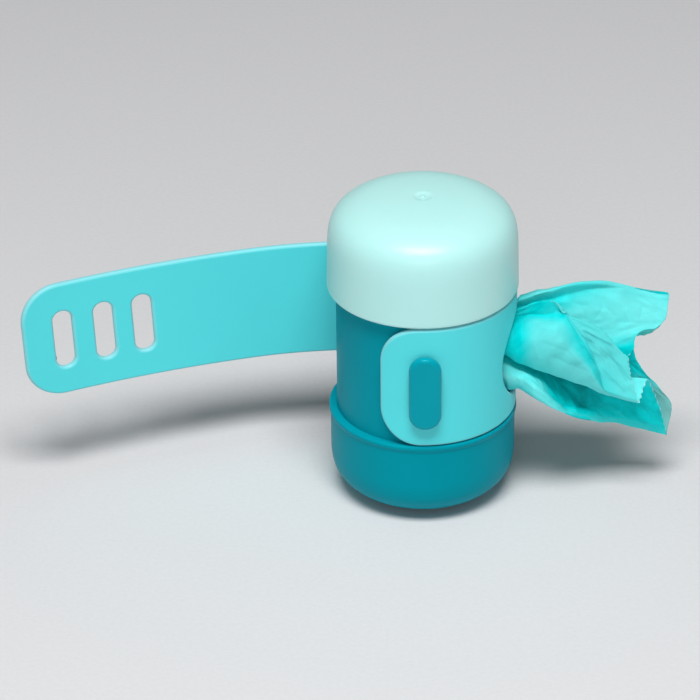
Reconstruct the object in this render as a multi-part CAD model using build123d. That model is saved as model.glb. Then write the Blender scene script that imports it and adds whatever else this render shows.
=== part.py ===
from build123d import *
import math
import os

# Waste-bag dispenser: an upright capsule that holds one roll of bags, with a soft strap that
# wraps it and fastens to a lead, a belt or a handle.
# Millimetres, +Z up. The origin is the centre of the foot; Z is the axis of the capsule.
# The strap button faces -Y, the bag exit faces +X and the strap's loose tail leaves towards -X.

os.makedirs("parts", exist_ok=True)

# ---------------------------------------------------------------- driving dimensions
HEIGHT = 80.5          # whole capsule
CUP_R = 23.0           # base cup, outside
CUP_LIP_R = 23.4       # bead round its rim
CUP_RIM_Z = 23.15      # top of the base cup's rim
CUP_RIM_ROUND = 0.6
FOOT_R = 12.0          # flat foot
CUP_FLOOR_Z = 2.4      # inside floor of the cup
TUBE_R = 21.40         # body tube, outside
TUBE_IN_R = 19.80
TUBE_Z0 = 9.0
TUBE_Z1 = 68.0
RIB_H = 0.25           # crush ribs that hold the lid
RIB_N = 6
LID_RIM_Z = 56.35
LID_RIM_R = 23.60
LID_IN_R = 21.75
LID_STOP_Z = 68.15     # shoulder inside the lid, just over the tube's top edge
WINDOW_R = 10.5        # bag exit in the tube
WINDOW_Z = 39.3
STRAP_Z0, STRAP_Z1 = 23.35, 56.0
STRAP_T = 1.8
STRAP_IN_R = 21.45
STRAP_HOLE_R = 12.0    # hole in the strap round the bag exit
STRAP_HOLE_Z = 38.75
TAIL_Z0, TAIL_Z1 = 24.0, 55.3         # the tail is a little narrower than the wrap
STRAP_CORNER_R = 10.0
SLOT_W, SLOT_H = 5.4, 15.8
SLOT_Z = 39.5          # slots of the tail
BTN_X, BTN_Z = 0.6, 39.5
BTN_W, BTN_H = 7.9, 19.9
HEAD_Z = 39.05         # middle of the button's head
BTN_FACE_Y = -25.5     # outer face of the button's head
BTN_HEAD_T = 1.6
NECK_W, NECK_H = 4.4, 15.2
CORE_IN_R, CORE_R = 6.0, 7.0
ROLL_R = 15.5
CORE_Z0, CORE_Z1 = 2.7, 60.7
ROLL_Z0, ROLL_Z1 = 3.2, 60.2

# strap centreline in plan: three tangent arcs. Station s is measured along it from the point where
# the strap leaves the tube; psi is the direction of the outward normal, in degrees from +X.
R_WRAP = STRAP_IN_R + STRAP_T / 2
R_A, R_B = 104.4, 281.0
PSI_FRONT = -117.0     # free end of the wrap, beside the button
PSI_LEAVE = 79.53
PSI_AB = PSI_LEAVE + 26.35
TAIL_L = 107.9
FLEX_S = [10.0, 32.0, 54.0, 80.8]     # stations where the tail is taken to bend
FLEX_GAP = 0.55                       # clear gap each side of a bend
SLOT_S = [76.2, 86.4, 97.2]           # slot centres on the tail


# ---------------------------------------------------------------- helpers
def unit(deg):
    return (math.cos(math.radians(deg)), math.sin(math.radians(deg)))


S_AB = math.radians(PSI_AB - PSI_LEAVE) * R_A
_n = unit(PSI_LEAVE)
C_A = ((R_WRAP - R_A) * _n[0], (R_WRAP - R_A) * _n[1])
_m = unit(PSI_AB)
C_B = (C_A[0] + (R_A - R_B) * _m[0], C_A[1] + (R_A - R_B) * _m[1])


def psi_at(s):
    if s < 0:
        return PSI_LEAVE + math.degrees(s / R_WRAP)
    if s < S_AB:
        return PSI_LEAVE + math.degrees(s / R_A)
    return PSI_AB + math.degrees((s - S_AB) / R_B)


def strap_xy(s, v=0.0):
    p = unit(psi_at(s))
    if s < 0:
        c, r = (0.0, 0.0), R_WRAP
    elif s < S_AB:
        c, r = C_A, R_A
    else:
        c, r = C_B, R_B
    return (c[0] + (r + v) * p[0], c[1] + (r + v) * p[1])


def arc_edge(sa, sb, v, z):
    a, b, c = strap_xy(sa, v), strap_xy((sa + sb) / 2, v), strap_xy(sb, v)
    return ThreePointArc((a[0], a[1], z), (b[0], b[1], z), (c[0], c[1], z))


def strap_piece(sa, sb, z=STRAP_Z0, z_top=STRAP_Z1):
    """Band of the strap between two stations, full width, square ends."""
    cuts = [sa] + [s for s in (-60.0, -30.0, 0.0, S_AB) if sa < s < sb] + [sb]
    h = STRAP_T / 2
    edges = [arc_edge(p, q, h, z) for p, q in zip(cuts, cuts[1:])]
    a, b = strap_xy(sb, h), strap_xy(sb, -h)
    edges.append(Line((a[0], a[1], z), (b[0], b[1], z)))
    edges += [arc_edge(q, p, -h, z) for p, q in reversed(list(zip(cuts, cuts[1:])))]
    a, b = strap_xy(sa, -h), strap_xy(sa, h)
    edges.append(Line((a[0], a[1], z), (b[0], b[1], z)))
    return extrude(make_face(edges), amount=z_top - z, dir=(0, 0, 1))


def station_plane(s, z):
    """Plane across the strap: x along the strap, y up, z along the outward normal."""
    p = psi_at(s)
    n, t = unit(p), unit(p + 90)
    o = strap_xy(s)
    return Plane(origin=(o[0], o[1], z), x_dir=(t[0], t[1], 0), z_dir=(n[0], n[1], 0))


def slot_tool(s, z=SLOT_Z):
    return extrude(station_plane(s, z) * SlotOverall(SLOT_H, SLOT_W, rotation=90), amount=6, both=True)


def end_tool(s_end, sign, z0=STRAP_Z0, z1=STRAP_Z1):
    """What is cut away to round the two corners of a strap end; sign is +1 when the end is at larger s."""
    zc = (z0 + z1) / 2
    w = z1 - z0
    pl = station_plane(s_end - sign * STRAP_CORNER_R, zc)
    blank = Rectangle(STRAP_CORNER_R + 3, w + 4, align=(Align.MIN, Align.CENTER))
    keep = Rectangle(STRAP_CORNER_R, w - 2 * STRAP_CORNER_R, align=(Align.MIN, Align.CENTER))
    for k in (-1, 1):
        keep += Pos(0, k * (w / 2 - STRAP_CORNER_R)) * Circle(STRAP_CORNER_R)
    sk = blank - keep
    if sign < 0:
        sk = sk.mirror(Plane.YZ)
    return extrude(pl * sk, amount=6, both=True)


def revolved(edges):
    return revolve(make_face(edges), Axis.Z, 360)


def P(r, z):
    return (r, 0, z)


# ---------------------------------------------------------------- base cup
d = CUP_RIM_ROUND
c45 = d * (1 - math.sqrt(0.5))
cup = revolved([
    Line(P(0, 0), P(FOOT_R, 0)),
    Spline([P(FOOT_R, 0), P(15.0, 0.55), P(17.5, 1.75), P(19.75, 3.25), P(21.4, 5.0), P(22.45, 7.1), P(22.93, 9.9), P(CUP_R, 13.5)],
           tangents=[(1, 0, 0.02), (0, 0, 1)]),
    Line(P(CUP_R, 13.5), P(CUP_R, 21.1)),
    Spline([P(CUP_R, 21.1), P((CUP_R + CUP_LIP_R) / 2, 21.7), P(CUP_LIP_R, 22.3)], tangents=[(0, 0, 1), (0, 0, 1)]),
    Line(P(CUP_LIP_R, 22.3), P(CUP_LIP_R, CUP_RIM_Z - d)),
    ThreePointArc(P(CUP_LIP_R, CUP_RIM_Z - d), P(CUP_LIP_R - c45, CUP_RIM_Z - c45), P(CUP_LIP_R - d, CUP_RIM_Z)),
    Line(P(CUP_LIP_R - d, CUP_RIM_Z), P(TUBE_R + 0.05, CUP_RIM_Z)),
    Line(P(TUBE_R + 0.05, CUP_RIM_Z), P(TUBE_R + 0.05, TUBE_Z0)),
    Line(P(TUBE_R + 0.05, TUBE_Z0), P(20.6, TUBE_Z0)),
    Spline([P(20.6, TUBE_Z0), P(19.95, 6.3), P(18.4, 4.2), P(16.2, CUP_FLOOR_Z)], tangents=[(0, 0, -1), (-1, 0, -0.35)]),
    Line(P(16.2, CUP_FLOOR_Z), P(0, CUP_FLOOR_Z)),
    Line(P(0, CUP_FLOOR_Z), P(0, 0)),
])
cup.label = "base_cup"

# ---------------------------------------------------------------- body tube
tube = revolved([
    Line(P(TUBE_IN_R, TUBE_Z0), P(TUBE_R, TUBE_Z0)),
    Line(P(TUBE_R, TUBE_Z0), P(TUBE_R, TUBE_Z1 - 0.6)),
    ThreePointArc(P(TUBE_R, TUBE_Z1 - 0.6), P(TUBE_R - 0.176, TUBE_Z1 - 0.176), P(TUBE_R - 0.6, TUBE_Z1)),
    Line(P(TUBE_R - 0.6, TUBE_Z1), P(TUBE_IN_R + 0.4, TUBE_Z1)),
    ThreePointArc(P(TUBE_IN_R + 0.4, TUBE_Z1), P(TUBE_IN_R + 0.117, TUBE_Z1 - 0.117), P(TUBE_IN_R, TUBE_Z1 - 0.4)),
    Line(P(TUBE_IN_R, TUBE_Z1 - 0.4), P(TUBE_IN_R, TUBE_Z0)),
])
window = Pos(TUBE_R - 4, 0, WINDOW_Z) * Rot(0, 90, 0) * Cylinder(WINDOW_R, 14)
tube -= window
# rounded lip on the outside of the exit window
lip = [e for e in tube.edges()
       if all(abs(math.hypot(e.position_at(t).Y, e.position_at(t).Z - WINDOW_Z) - WINDOW_R) < 0.02 and
              abs(math.hypot(e.position_at(t).X, e.position_at(t).Y) - TUBE_R) < 0.02 for t in (0.13, 0.5, 0.87))]
tube = fillet(lip, 0.55)
for k in range(RIB_N):
    rib = Pos(TUBE_R - 0.5 + RIB_H / 2, 0, 62.3) * Box(1.0 + RIB_H, 1.1, 8.0)
    rib = chamfer(rib.edges().filter_by(Axis.Y).filter_by(lambda e: e.center().X > TUBE_R), 0.24)
    tube += Rot(0, 0, 30 + 60 * k) * rib
# opening for the button's shank
tube -= extrude(Plane(origin=(BTN_X, -17, BTN_Z), x_dir=(1, 0, 0), z_dir=(0, -1, 0)) * SlotOverall(NECK_H + 0.1, NECK_W + 0.1, rotation=90), amount=6)
tube.label = "body_tube"

# ---------------------------------------------------------------- strap button
head = extrude(Plane(origin=(BTN_X, BTN_FACE_Y + BTN_HEAD_T, HEAD_Z), x_dir=(1, 0, 0), z_dir=(0, -1, 0)) * SlotOverall(BTN_H, BTN_W, rotation=90), amount=BTN_HEAD_T)
head = fillet(head.faces().sort_by(Axis.Y)[0].edges(), 0.95)
shank = extrude(Plane(origin=(BTN_X, -19.2, BTN_Z), x_dir=(1, 0, 0), z_dir=(0, -1, 0)) * SlotOverall(NECK_H, NECK_W, rotation=90), amount=-BTN_FACE_Y - BTN_HEAD_T - 19.2 + 0.3)
# staked rim inside the tube wall
rim = extrude(Plane(origin=(BTN_X, -18.2, BTN_Z), x_dir=(1, 0, 0), z_dir=(0, -1, 0)) * SlotOverall(NECK_H + 2.4, NECK_W + 2.0, rotation=90), amount=1.15)
button = head + shank + rim
button.label = "strap_button"

# ---------------------------------------------------------------- strap
S_FRONT = -math.radians(PSI_LEAVE - PSI_FRONT) * R_WRAP
wrap = strap_piece(S_FRONT, FLEX_S[0] - FLEX_GAP)
wrap -= end_tool(S_FRONT, -1)
wrap -= Pos(TUBE_R, 0, STRAP_HOLE_Z) * Rot(0, 90, 0) * Cylinder(STRAP_HOLE_R, 14)
s_btn = -math.radians(PSI_LEAVE + 90 - math.degrees(math.asin(BTN_X / R_WRAP))) * R_WRAP
wrap -= slot_tool(s_btn, BTN_Z)
wrap.label = "strap_wrap"

tail = []
names = ["strap_tail_root", "strap_tail_middle", "strap_tail_outer", "strap_tail_tip"]
for i, name in enumerate(names):
    s0 = FLEX_S[i] + FLEX_GAP
    s1 = FLEX_S[i + 1] - FLEX_GAP if i < 3 else TAIL_L
    p = strap_piece(s0, s1, TAIL_Z0, TAIL_Z1)
    if i == 3:
        p -= end_tool(TAIL_L, 1, TAIL_Z0, TAIL_Z1)
    for s in SLOT_S:
        if s0 < s < s1:
            p -= slot_tool(s)
    p.label = name
    tail.append(p)

# ---------------------------------------------------------------- lid
nib_r, nib_z = 0.6, HEIGHT
lid = revolved([
    Line(P(LID_IN_R + 0.3, LID_RIM_Z), P(LID_RIM_R - 0.7, LID_RIM_Z)),
    ThreePointArc(P(LID_RIM_R - 0.7, LID_RIM_Z), P(LID_RIM_R - 0.205, LID_RIM_Z + 0.205), P(LID_RIM_R, LID_RIM_Z + 0.7)),
    Line(P(LID_RIM_R, LID_RIM_Z + 0.7), P(23.42, 66.5)),
    Spline([P(23.42, 66.5), P(23.2, 70.7), P(22.6, 73.5), P(21.2, 75.8), P(18.9, 77.55), P(15.9, 78.85), P(11.5, 79.75), P(6.5, 80.2), P(2.6, 80.35)],
           tangents=[(-0.02, 0, 1), (-1, 0, 0.03)]),
    Spline([P(2.6, 80.35), P(1.7, 80.14), P(nib_r, 80.05)], tangents=[(-1, 0, -0.02), (-1, 0, 0)]),
    Line(P(nib_r, 80.05), P(nib_r - 0.1, nib_z - 0.12)),
    ThreePointArc(P(nib_r - 0.1, nib_z - 0.12), P(nib_r - 0.16, nib_z - 0.035), P(nib_r - 0.26, nib_z)),
    Line(P(nib_r - 0.26, nib_z), P(0, nib_z)),
    Line(P(0, nib_z), P(0, 78.4)),
    Spline([P(0, 78.4), P(8.0, 78.15), P(13.6, 77.3), P(17.6, 75.9), P(20.0, 73.7), P(21.0, 70.5)], tangents=[(1, 0, 0), (0, 0, -1)]),
    Line(P(21.0, 70.5), P(21.0, LID_STOP_Z)),
    Line(P(21.0, LID_STOP_Z), P(LID_IN_R, LID_STOP_Z)),
    Line(P(LID_IN_R, LID_STOP_Z), P(LID_IN_R, LID_RIM_Z + 0.3)),
    Line(P(LID_IN_R, LID_RIM_Z + 0.3), P(LID_IN_R + 0.3, LID_RIM_Z)),
])
lid.label = "lid"

# ---------------------------------------------------------------- roll of bags
core = Pos(0, 0, (CORE_Z0 + CORE_Z1) / 2) * (Cylinder(CORE_R, CORE_Z1 - CORE_Z0) - Cylinder(CORE_IN_R, CORE_Z1 - CORE_Z0 + 2))
core.label = "roll_core"
roll = Pos(0, 0, (ROLL_Z0 + ROLL_Z1) / 2) * (Cylinder(ROLL_R, ROLL_Z1 - ROLL_Z0) - Cylinder(CORE_R + 0.02, ROLL_Z1 - ROLL_Z0 + 2))
roll = fillet(roll.edges().filter_by(GeomType.CIRCLE).filter_by(lambda e: abs(e.radius - ROLL_R) < 0.01), 0.5)
roll.label = "bag_roll"

# leading bag: gathered neck through the window, then a crumpled fan
fan = [  # x, y centre, y width, z low, z high
    (16.3, 0.0, 5.6, 31.0, 47.6),
    (24.8, 0.0, 5.6, 31.0, 47.6),
    (30.5, 0.0, 9.0, 24.6, 51.0),
    (44.0, 0.0, 12.0, 17.6, 54.6),
    (54.0, 0.0, 11.0, 14.6, 54.4),
    (61.6, 0.0, 8.0, 12.6, 53.8),
]
secs = [Plane(origin=(x, yc, (z0 + z1) / 2), x_dir=(0, 1, 0), z_dir=(1, 0, 0)) * Rectangle(w, z1 - z0) for x, yc, w, z0, z1 in fan]
bag = loft(secs[:2], ruled=True) + loft(secs[1:], ruled=True)
bag.label = "lead_bag"

# ---------------------------------------------------------------- write
for p in [cup, tube, button, wrap, *tail, lid, core, roll, bag]:
    export_step(p, f"parts/{p.label}.step")
    bb = p.bounding_box()
    print(f"{p.label:18s} vol {p.volume:9.1f}  x {bb.min.X:7.2f}..{bb.max.X:7.2f}  y {bb.min.Y:7.2f}..{bb.max.Y:7.2f}  z {bb.min.Z:6.2f}..{bb.max.Z:6.2f}")
for s in FLEX_S:
    o = strap_xy(s)
    print("bend at", [round(c, 4) for c in o], "psi", round(psi_at(s), 2))
for s in SLOT_S:
    o = strap_xy(s)
    print("slot at", [round(c, 4) for c in o], "psi", round(psi_at(s), 2))
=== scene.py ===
import bpy
import bmesh
import math
import numpy as np
from mathutils import Matrix, Quaternion, Vector
from mathutils.geometry import delaunay_2d_cdt


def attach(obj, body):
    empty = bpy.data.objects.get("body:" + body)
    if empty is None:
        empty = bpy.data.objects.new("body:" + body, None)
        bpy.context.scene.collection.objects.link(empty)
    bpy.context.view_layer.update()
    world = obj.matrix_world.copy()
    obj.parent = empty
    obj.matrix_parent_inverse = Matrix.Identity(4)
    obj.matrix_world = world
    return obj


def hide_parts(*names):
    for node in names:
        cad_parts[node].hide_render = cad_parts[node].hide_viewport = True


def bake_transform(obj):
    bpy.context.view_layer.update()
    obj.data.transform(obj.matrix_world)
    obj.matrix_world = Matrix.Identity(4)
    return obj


# Waste-bag dispenser, looks only. Metres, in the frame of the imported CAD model: +Z is the axis of the
# capsule, the button faces -Y, the bag leaves towards +X and the strap's tail towards -X.

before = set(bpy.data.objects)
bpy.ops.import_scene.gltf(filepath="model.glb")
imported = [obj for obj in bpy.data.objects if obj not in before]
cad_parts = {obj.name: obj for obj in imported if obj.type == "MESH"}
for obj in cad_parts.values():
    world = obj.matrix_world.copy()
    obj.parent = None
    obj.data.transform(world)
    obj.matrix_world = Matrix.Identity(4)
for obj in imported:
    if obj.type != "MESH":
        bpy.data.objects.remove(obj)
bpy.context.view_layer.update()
scene = bpy.context.scene
MM = 0.001


# ------------------------------------------------------------------ camera
cam_data = bpy.data.cameras.new("camera")
cam = bpy.data.objects.new("camera", cam_data)
scene.collection.objects.link(cam)
cam_data.sensor_fit = "HORIZONTAL"
cam_data.sensor_width = 36.0
cam_data.lens = 193.85
cam_data.clip_start, cam_data.clip_end = 0.05, 20.0
cam.rotation_mode = "QUATERNION"
cam.location = (0.0, -0.812571, 0.501418)
cam.rotation_quaternion = Quaternion((0.8648126, 0.5020022, 0.0083283, 0.0048539))
scene.camera = cam


# ------------------------------------------------------------------ node helpers
def material(name):
    m = bpy.data.materials.new(name)
    m.use_nodes = True
    nt = m.node_tree
    nt.nodes.clear()
    out = nt.nodes.new("ShaderNodeOutputMaterial")
    bsdf = nt.nodes.new("ShaderNodeBsdfPrincipled")
    nt.links.new(bsdf.outputs[0], out.inputs[0])
    return m, nt, bsdf, out


def node(nt, kind, **props):
    n = nt.nodes.new(kind)
    for k, v in props.items():
        setattr(n, k, v)
    return n


def noise(nt, vec, scale, detail=3.0, rough=0.55, distortion=0.0):
    n = node(nt, "ShaderNodeTexNoise")
    n.inputs["Scale"].default_value = scale
    n.inputs["Detail"].default_value = detail
    n.inputs["Roughness"].default_value = rough
    n.inputs["Distortion"].default_value = distortion
    nt.links.new(vec, n.inputs["Vector"])
    return n.outputs["Fac"]


def remap(nt, val, a, b, c, d):
    n = node(nt, "ShaderNodeMapRange")
    for k, v in zip(("From Min", "From Max", "To Min", "To Max"), (a, b, c, d)):
        n.inputs[k].default_value = v
    nt.links.new(val, n.inputs["Value"])
    return n.outputs["Result"]


def math_node(nt, op, a, b=None):
    n = node(nt, "ShaderNodeMath", operation=op)
    for i, v in enumerate((a, b)):
        if v is None:
            continue
        if isinstance(v, (int, float)):
            n.inputs[i].default_value = v
        else:
            nt.links.new(v, n.inputs[i])
    return n.outputs[0]


def mix_rgb(nt, fac, a, b, blend="MIX"):
    n = node(nt, "ShaderNodeMix", data_type="RGBA", blend_type=blend)
    if isinstance(fac, (int, float)):
        n.inputs["Factor"].default_value = fac
    else:
        nt.links.new(fac, n.inputs["Factor"])
    for name, v in (("A", a), ("B", b)):
        sock = [s for s in n.inputs if s.name == name and s.type == "RGBA"][0]
        if isinstance(v, tuple):
            sock.default_value = (*v, 1.0)
        else:
            nt.links.new(v, sock)
    return [s for s in n.outputs if s.type == "RGBA"][0]


def bump(nt, height, strength, distance, normal=None):
    n = node(nt, "ShaderNodeBump")
    n.inputs["Strength"].default_value = strength
    n.inputs["Distance"].default_value = distance
    nt.links.new(height, n.inputs["Height"])
    if normal is not None:
        nt.links.new(normal, n.inputs["Normal"])
    return n.outputs["Normal"]


# ------------------------------------------------------------------ materials
def moulded(name, light, dark, rough, spec, grain=5200.0, grain_h=4.0e-6, coat=0.0, sss=0.0, tint=(1.0, 1.0, 1.0)):
    """Injection-moulded plastic: fine mould grain, slow cloudiness of the pigment, patches handled smoother."""
    m, nt, b, out = material(name)
    co = node(nt, "ShaderNodeTexCoord").outputs["Object"]
    cloud = noise(nt, co, 46.0, 2.0, 0.5)
    nt.links.new(mix_rgb(nt, remap(nt, cloud, 0.3, 0.7, 0.0, 1.0), light, dark), b.inputs["Base Color"])
    rub = noise(nt, co, 120.0, 4.0, 0.6)
    nt.links.new(remap(nt, rub, 0.3, 0.7, rough - 0.012, rough + 0.015), b.inputs["Roughness"])
    fine = noise(nt, co, grain, 2.0, 0.6)
    wave = noise(nt, co, 150.0, 1.0, 0.4)
    n1 = bump(nt, wave, 0.10, 3.0e-5)
    nt.links.new(bump(nt, fine, 0.14, grain_h, n1), b.inputs["Normal"])
    b.inputs["Specular IOR Level"].default_value = spec
    b.inputs["Specular Tint"].default_value = (*tint, 1.0)
    b.inputs["Coat Weight"].default_value = coat
    if sss:
        b.inputs["Subsurface Weight"].default_value = sss
        b.inputs["Subsurface Radius"].default_value = (0.6, 1.0, 0.9)
        b.inputs["Subsurface Scale"].default_value = 0.0012
    return m


TEAL = moulded("teal_plastic", (0.0006, 0.316, 0.396), (0.0004, 0.300, 0.378), 0.42, 0.07, tint=(0.10, 0.80, 0.90))
BUTTON = moulded("teal_button", (0.0006, 0.340, 0.425), (0.0004, 0.328, 0.410), 0.21, 0.36, tint=(0.15, 0.90, 1.0))
MINT = moulded("mint_plastic", (0.498, 0.868, 0.842), (0.490, 0.860, 0.834), 0.355, 0.50, sss=0.30)


def silicone():
    """Soft silicone: matt, slightly dusty, with the shallow unevenness of a pressed band."""
    m, nt, b, out = material("silicone_band")
    uv = node(nt, "ShaderNodeUVMap", uv_map="flat").outputs["UV"]
    cloud = noise(nt, uv, 30.0, 3.0, 0.5)
    dust = noise(nt, uv, 2600.0, 2.0, 0.7)
    col = mix_rgb(nt, remap(nt, cloud, 0.3, 0.7, 0.0, 1.0), (0.089, 0.784, 0.832), (0.084, 0.752, 0.802))
    col = mix_rgb(nt, remap(nt, dust, 0.60, 0.80, 0.0, 0.16), col, (0.36, 0.92, 0.93))
    # the rounded edges go paler and greyer: partly rubbed wear, partly a painted highlight's whitish tone
    rim = node(nt, "ShaderNodeAttribute", attribute_name="rim").outputs["Fac"]
    rub = noise(nt, uv, 85.0, 4.0, 0.6)
    worn_and_highlit_edge = math_node(nt, "MULTIPLY", rim, remap(nt, rub, 0.25, 0.75, 0.60, 1.0))
    col = mix_rgb(nt, worn_and_highlit_edge, col, (0.30, 0.68, 0.73))
    nt.links.new(col, b.inputs["Base Color"])
    nt.links.new(remap(nt, rub, 0.3, 0.7, 0.47, 0.57), b.inputs["Roughness"])
    wave = noise(nt, uv, 70.0, 2.0, 0.4)
    fine = noise(nt, uv, 4200.0, 2.0, 0.6)
    n1 = bump(nt, wave, 0.3, 6.0e-5)
    nt.links.new(bump(nt, fine, 0.5, 5.0e-6, n1), b.inputs["Normal"])
    b.inputs["Specular IOR Level"].default_value = 0.38
    b.inputs["Sheen Weight"].default_value = 0.06
    b.inputs["Sheen Roughness"].default_value = 0.4
    return m


def radius_of(nt, co):
    sep = node(nt, "ShaderNodeSeparateXYZ")
    nt.links.new(co, sep.inputs[0])
    x2 = math_node(nt, "MULTIPLY", sep.outputs["X"], sep.outputs["X"])
    y2 = math_node(nt, "MULTIPLY", sep.outputs["Y"], sep.outputs["Y"])
    return math_node(nt, "SQRT", math_node(nt, "ADD", x2, y2)), sep


def wound_film():
    """The roll: film wound in some two hundred turns, so the ends show fine rings and the side faint creases."""
    m, nt, b, out = material("wound_film")
    co = node(nt, "ShaderNodeTexCoord").outputs["Object"]
    r, sep = radius_of(nt, co)
    wob = noise(nt, co, 90.0, 2.0, 0.5)
    ring = math_node(nt, "SINE", math_node(nt, "ADD", math_node(nt, "MULTIPLY", r, 2 * math.pi / 0.00042),
                                           math_node(nt, "MULTIPLY", wob, 7.0)))
    blur = noise(nt, co, 700.0, 3.0, 0.7)
    f = math_node(nt, "ADD", math_node(nt, "MULTIPLY", ring, 0.32), blur)
    nt.links.new(mix_rgb(nt, remap(nt, f, 0.1, 0.95, 0.0, 1.0), (0.035, 0.44, 0.45), (0.16, 0.74, 0.72)),
                 b.inputs["Base Color"])
    nt.links.new(remap(nt, blur, 0.3, 0.7, 0.34, 0.5), b.inputs["Roughness"])
    n1 = bump(nt, ring, 0.35, 6.0e-5)
    crease = noise(nt, co, 240.0, 4.0, 0.6, 0.8)
    nt.links.new(bump(nt, crease, 0.4, 1.2e-4, n1), b.inputs["Normal"])
    b.inputs["Specular IOR Level"].default_value = 0.45
    return m


def card():
    """Grey-brown cardboard core with paper fibre and the spiral seam of the winding."""
    m, nt, b, out = material("core_cardboard")
    co = node(nt, "ShaderNodeTexCoord").outputs["Object"]
    r, sep = radius_of(nt, co)
    fibre = noise(nt, co, 1500.0, 5.0, 0.7, 1.2)
    patch = noise(nt, co, 160.0, 3.0, 0.6)
    ang = math_node(nt, "ARCTAN2", sep.outputs["Y"], sep.outputs["X"])
    helix = math_node(nt, "ADD", math_node(nt, "MULTIPLY", sep.outputs["Z"], 2 * math.pi / 0.022), ang)
    seam = remap(nt, math_node(nt, "COSINE", helix), 0.985, 1.0, 0.0, 1.0)
    col = mix_rgb(nt, remap(nt, fibre, 0.3, 0.7, 0.0, 1.0), (0.36, 0.27, 0.185), (0.58, 0.47, 0.35))
    col = mix_rgb(nt, remap(nt, patch, 0.35, 0.7, 0.0, 0.35), col, (0.42, 0.33, 0.25))
    col = mix_rgb(nt, math_node(nt, "MULTIPLY", seam, 0.6), col, (0.16, 0.115, 0.075))
    nt.links.new(col, b.inputs["Base Color"])
    nt.links.new(remap(nt, patch, 0.3, 0.7, 0.78, 0.9), b.inputs["Roughness"])
    nt.links.new(bump(nt, math_node(nt, "SUBTRACT", fibre, seam), 0.5, 5.0e-5), b.inputs["Normal"])
    b.inputs["Specular IOR Level"].default_value = 0.25
    return m


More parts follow.
